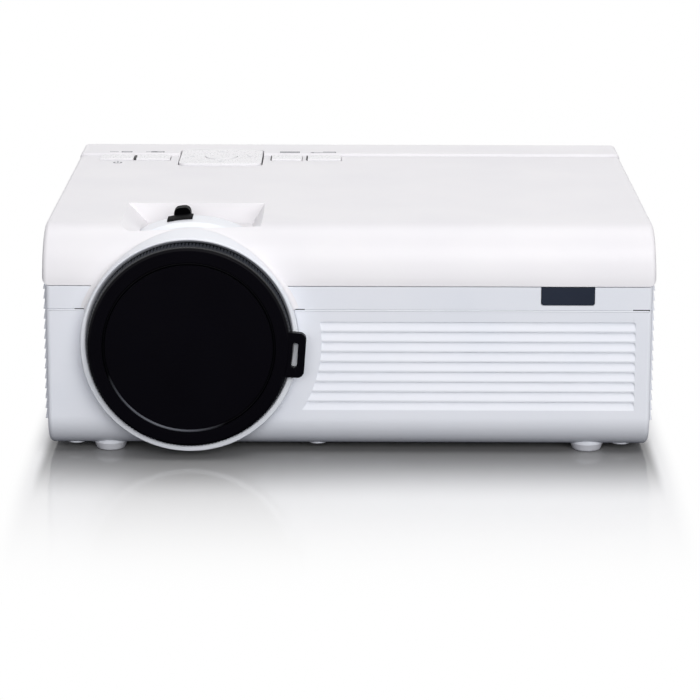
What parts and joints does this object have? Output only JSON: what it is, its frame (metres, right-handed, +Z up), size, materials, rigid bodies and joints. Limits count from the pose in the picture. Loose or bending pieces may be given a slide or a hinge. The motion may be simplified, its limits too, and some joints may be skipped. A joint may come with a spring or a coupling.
{
  "type": "projector with disc player",
  "caption": "Table-top projector with a slide-out disc tray, capped lens, focus lever in a finger pocket, keys on top and louvred sides.",
  "frame": {"origin": "on the table under the middle of the whole object, lens cap included", "axes": "+Z up from the table, -Y the way the lens looks, +X to the right of someone facing the lens"},
  "size_m": [0.24, 0.215, 0.092],
  "materials": {
    "white_shell": "fine satin",
    "grey_shell": "fine satin",
    "white_gloss": "semi gloss",
    "black_gloss": "gloss",
    "black_plastic": "matte",
    "smoked_window": "gloss",
    "rubber": "matte",
    "light_silicone": "matte",
    "steel": "bright",
    "sheet_steel": "galvanised",
    "aluminium": "extruded",
    "brass": "turned",
    "board": "green solder mask",
    "lens_glass": "coated",
    "panel_glass": "clear",
    "mirror_sheet": "bright"
  },
  "bodies": {
    "casing": {"top_cover": "white_shell", "left_front_band": "grey_shell", "right_front_band": "grey_shell", "lower_shell": "grey_shell", "left_grille": "grey_shell", "right_grille": "grey_shell", "rear_panel": "grey_shell", "case_screws": "steel", "board_screws": "steel", "rubber_feet": "light_silicone", "tripod_insert": "brass", "lens_collar": "white_gloss", "light_tunnel": "black_plastic", "front_fresnel": "panel_glass", "lcd_panel": "panel_glass", "rear_fresnel": "panel_glass", "heat_glass": "panel_glass", "reflector_funnel": "mirror_sheet", "led_board": "aluminium", "heat_sink": "aluminium", "exhaust_fan_frame": "black_plastic", "intake_fan_frame": "black_plastic", "main_board": "board", "key_board": "board", "hdmi_socket": "steel", "usb_socket": "steel", "phones_jack": "black_plastic", "video_jack": "black_plastic", "power_socket": "black_plastic", "infrared_window": "smoked_window", "infrared_receiver": "black_gloss", "left_speaker": "black_plastic", "right_speaker": "black_plastic", "drive_chassis": "sheet_steel", "drive_lid": "sheet_steel"},
    "cap": {"lens_cap": "black_gloss"},
    "focus": {"focus_ring": "black_gloss"},
    "barrel": {"lens_barrel": "black_plastic", "front_lens": "lens_glass", "rear_lens": "lens_glass"},
    "power_button": {"power_key": "white_gloss"},
    "source_button": {"source_key": "white_gloss"},
    "menu_button": {"menu_key": "white_gloss"},
    "return_button": {"return_key": "white_gloss"},
    "pivot": {"direction_pivot": "rubber"},
    "plate": {"direction_plate": "white_gloss"},
    "ok_button": {"ok_key": "white_gloss"},
    "tray": {"disc_tray": "black_plastic", "tray_front": "white_shell", "traverse_frame": "steel", "guide_rods": "steel", "sled_motor": "steel", "spindle_motor": "steel"},
    "runners": {"tray_runners": "steel"},
    "eject": {"eject_button": "white_gloss"},
    "hub": {"turntable": "black_plastic"},
    "pickup": {"pickup_sled": "black_plastic"},
    "screw": {"lead_screw": "steel"},
    "exhaust_rotor": {"exhaust_fan_rotor": "black_plastic"},
    "intake_rotor": {"intake_fan_rotor": "black_plastic"}
  },
  "joints": [
    {"name": "lens_cap_pull", "type": "slide", "parent": "casing", "child": "cap", "axis": [0, -1, 0], "range_m": [0, 0.03]},
    {"name": "focus_turn", "type": "hinge", "parent": "casing", "child": "focus", "pos_m": [-0.0623, -0.0605, 0.0461], "axis": [0, 1, 0], "range_deg": [-13.6, 30.4]},
    {"name": "barrel_slide", "type": "slide", "parent": "casing", "child": "barrel", "axis": [0, -1, 0], "range_m": [-0.0028, 0.0063]},
    {"name": "power_press", "type": "slide", "parent": "casing", "child": "power_button", "axis": [0, 0, -1], "range_m": [0, 0.0004], "stiffness_N_per_m": 1500, "springref_m": -0.0002},
    {"name": "source_press", "type": "slide", "parent": "casing", "child": "source_button", "axis": [0, 0, -1], "range_m": [0, 0.0004], "stiffness_N_per_m": 1500, "springref_m": -0.0002},
    {"name": "menu_press", "type": "slide", "parent": "casing", "child": "menu_button", "axis": [0, 0, -1], "range_m": [0, 0.0004], "stiffness_N_per_m": 1500, "springref_m": -0.0002},
    {"name": "return_press", "type": "slide", "parent": "casing", "child": "return_button", "axis": [0, 0, -1], "range_m": [0, 0.0004], "stiffness_N_per_m": 1500, "springref_m": -0.0002},
    {"name": "direction_tilt_x", "type": "hinge", "parent": "casing", "child": "pivot", "pos_m": [-0.0568, 0.073, 0.0876], "axis": [1, 0, 0], "range_deg": [-1.2, 1.2], "stiffness_Nm_per_rad": 1},
    {"name": "direction_tilt_y", "type": "hinge", "parent": "pivot", "child": "plate", "pos_m": [-0.0568, 0.073, 0.0876], "axis": [0, 1, 0], "range_deg": [-1.2, 1.2], "stiffness_Nm_per_rad": 1},
    {"name": "ok_press", "type": "slide", "parent": "plate", "child": "ok_button", "axis": [0, 0, -1], "range_m": [0, 0.0004], "stiffness_N_per_m": 1500, "springref_m": -0.0002},
    {"name": "tray_slide", "type": "slide", "parent": "casing", "child": "tray", "axis": [1, 0, 0], "range_m": [0, 0.118]},
    {"name": "runner_slide", "type": "slide", "parent": "casing", "child": "runners", "axis": [1, 0, 0], "range_m": [0, 0.059]},
    {"name": "eject_press", "type": "slide", "parent": "tray", "child": "eject", "axis": [-1, 0, 0], "range_m": [0, 0.0006], "stiffness_N_per_m": 1500, "springref_m": -0.0002},
    {"name": "hub_spin", "type": "hinge", "parent": "tray", "child": "hub", "pos_m": [0.0558, 0.02, 0.0785], "axis": [0, 0, 1], "continuous": true},
    {"name": "screw_turn", "type": "hinge", "parent": "tray", "child": "screw", "pos_m": [0.02, 0.0393, 0.0749], "axis": [1, 0, 0], "range_deg": [0, 3600]},
    {"name": "pickup_slide", "type": "slide", "parent": "tray", "child": "pickup", "axis": [-1, 0, 0], "range_m": [0, 0.03]},
    {"name": "exhaust_fan_spin", "type": "hinge", "parent": "casing", "child": "exhaust_rotor", "pos_m": [-0.0623, 0.098, 0.039], "axis": [0, 1, 0], "continuous": true},
    {"name": "intake_fan_spin", "type": "hinge", "parent": "casing", "child": "intake_rotor", "pos_m": [-0.1117, 0.005, 0.042], "axis": [1, 0, 0], "continuous": true}
  ],
  "couplings": [
    {"joint": "focus_turn", "follows": "barrel_slide", "rad_per_m": 83.333},
    {"joint": "runner_slide", "follows": "tray_slide", "ratio": 0.5},
    {"joint": "screw_turn", "follows": "pickup_slide", "rad_per_m": 2094.4}
  ]
}
